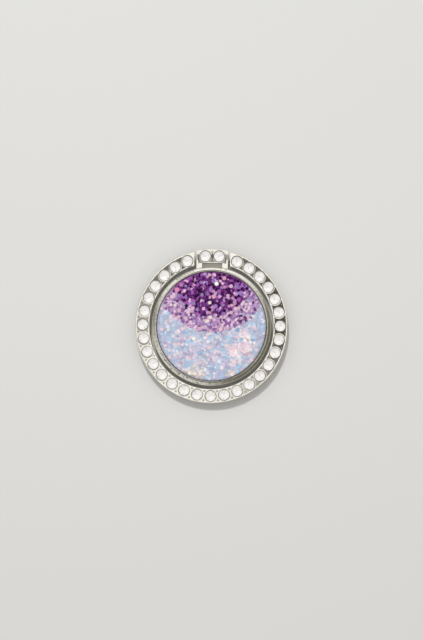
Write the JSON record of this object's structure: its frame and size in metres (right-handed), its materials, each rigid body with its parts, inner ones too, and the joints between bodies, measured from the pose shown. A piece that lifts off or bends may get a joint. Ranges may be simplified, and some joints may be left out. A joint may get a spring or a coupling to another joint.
{
  "type": "folding phone ring grip",
  "caption": "Flat phone grip: a rhinestone finger ring folds round a turning disc of glitter under a clear dome, on an adhesive base.",
  "frame": {"origin": "middle of the adhesive face, on the axis that the disc turns about", "axes": "+Z points away from the phone, through the dome; +Y points from the middle towards the hinge; +X points right with the hinge at the top"},
  "size_m": [0.0398, 0.0403, 0.0059],
  "materials": {
    "pad_foam": "matt foam",
    "plate_steel": "turned and plated",
    "slip_plastic": "smooth white sheet",
    "rivet_steel": "bright zinc plated",
    "spring_steel": "bright strip",
    "pin_steel": "ground",
    "disc_metal": "cast and plated warm silver",
    "ring_metal": "cast and plated warm silver",
    "rhinestone": "faceted, foiled behind",
    "violet_resin": "dark violet glitter in resin",
    "lilac_resin": "lilac and pink glitter in resin",
    "ice_resin": "pale blue and pink glitter in resin",
    "clear_resin": "clear, glossy"
  },
  "bodies": {
    "base": {"adhesive_pad": "pad_foam", "base_plate": "plate_steel", "slip_washer": "slip_plastic"},
    "disc": {"swivel_rivet": "rivet_steel", "flat_washer": "spring_steel", "wave_washer": "spring_steel", "swivel_disc": "disc_metal", "friction_sleeve": "spring_steel", "violet_glitter": "violet_resin", "lilac_glitter": "lilac_resin", "ice_glitter": "ice_resin", "clear_dome": "clear_resin", "block_stone_left": "rhinestone", "block_stone_right": "rhinestone"},
    "ring": {"hinge_pin": "pin_steel", "finger_ring": "ring_metal", "ring_stone_01": "rhinestone", "ring_stone_02": "rhinestone", "ring_stone_03": "rhinestone", "ring_stone_04": "rhinestone", "ring_stone_05": "rhinestone", "ring_stone_06": "rhinestone", "ring_stone_07": "rhinestone", "ring_stone_08": "rhinestone", "ring_stone_09": "rhinestone", "ring_stone_10": "rhinestone", "ring_stone_11": "rhinestone", "ring_stone_12": "rhinestone", "ring_stone_13": "rhinestone", "ring_stone_14": "rhinestone", "ring_stone_15": "rhinestone", "ring_stone_16": "rhinestone", "ring_stone_17": "rhinestone", "ring_stone_18": "rhinestone", "ring_stone_19": "rhinestone", "ring_stone_20": "rhinestone", "ring_stone_21": "rhinestone", "ring_stone_22": "rhinestone", "ring_stone_23": "rhinestone", "ring_stone_24": "rhinestone", "ring_stone_25": "rhinestone", "ring_stone_26": "rhinestone", "ring_stone_27": "rhinestone", "ring_stone_28": "rhinestone", "ring_stone_29": "rhinestone"}
  },
  "joints": [
    {"name": "disc_swivel", "type": "hinge", "parent": "base", "child": "disc", "pos_m": [0, 0, 0], "axis": [0, 0, 1], "continuous": true},
    {"name": "ring_fold", "type": "hinge", "parent": "disc", "child": "ring", "pos_m": [0, 0.01735, 0.0028], "axis": [-1, 0, 0], "range_deg": [0, 180]}
  ]
}
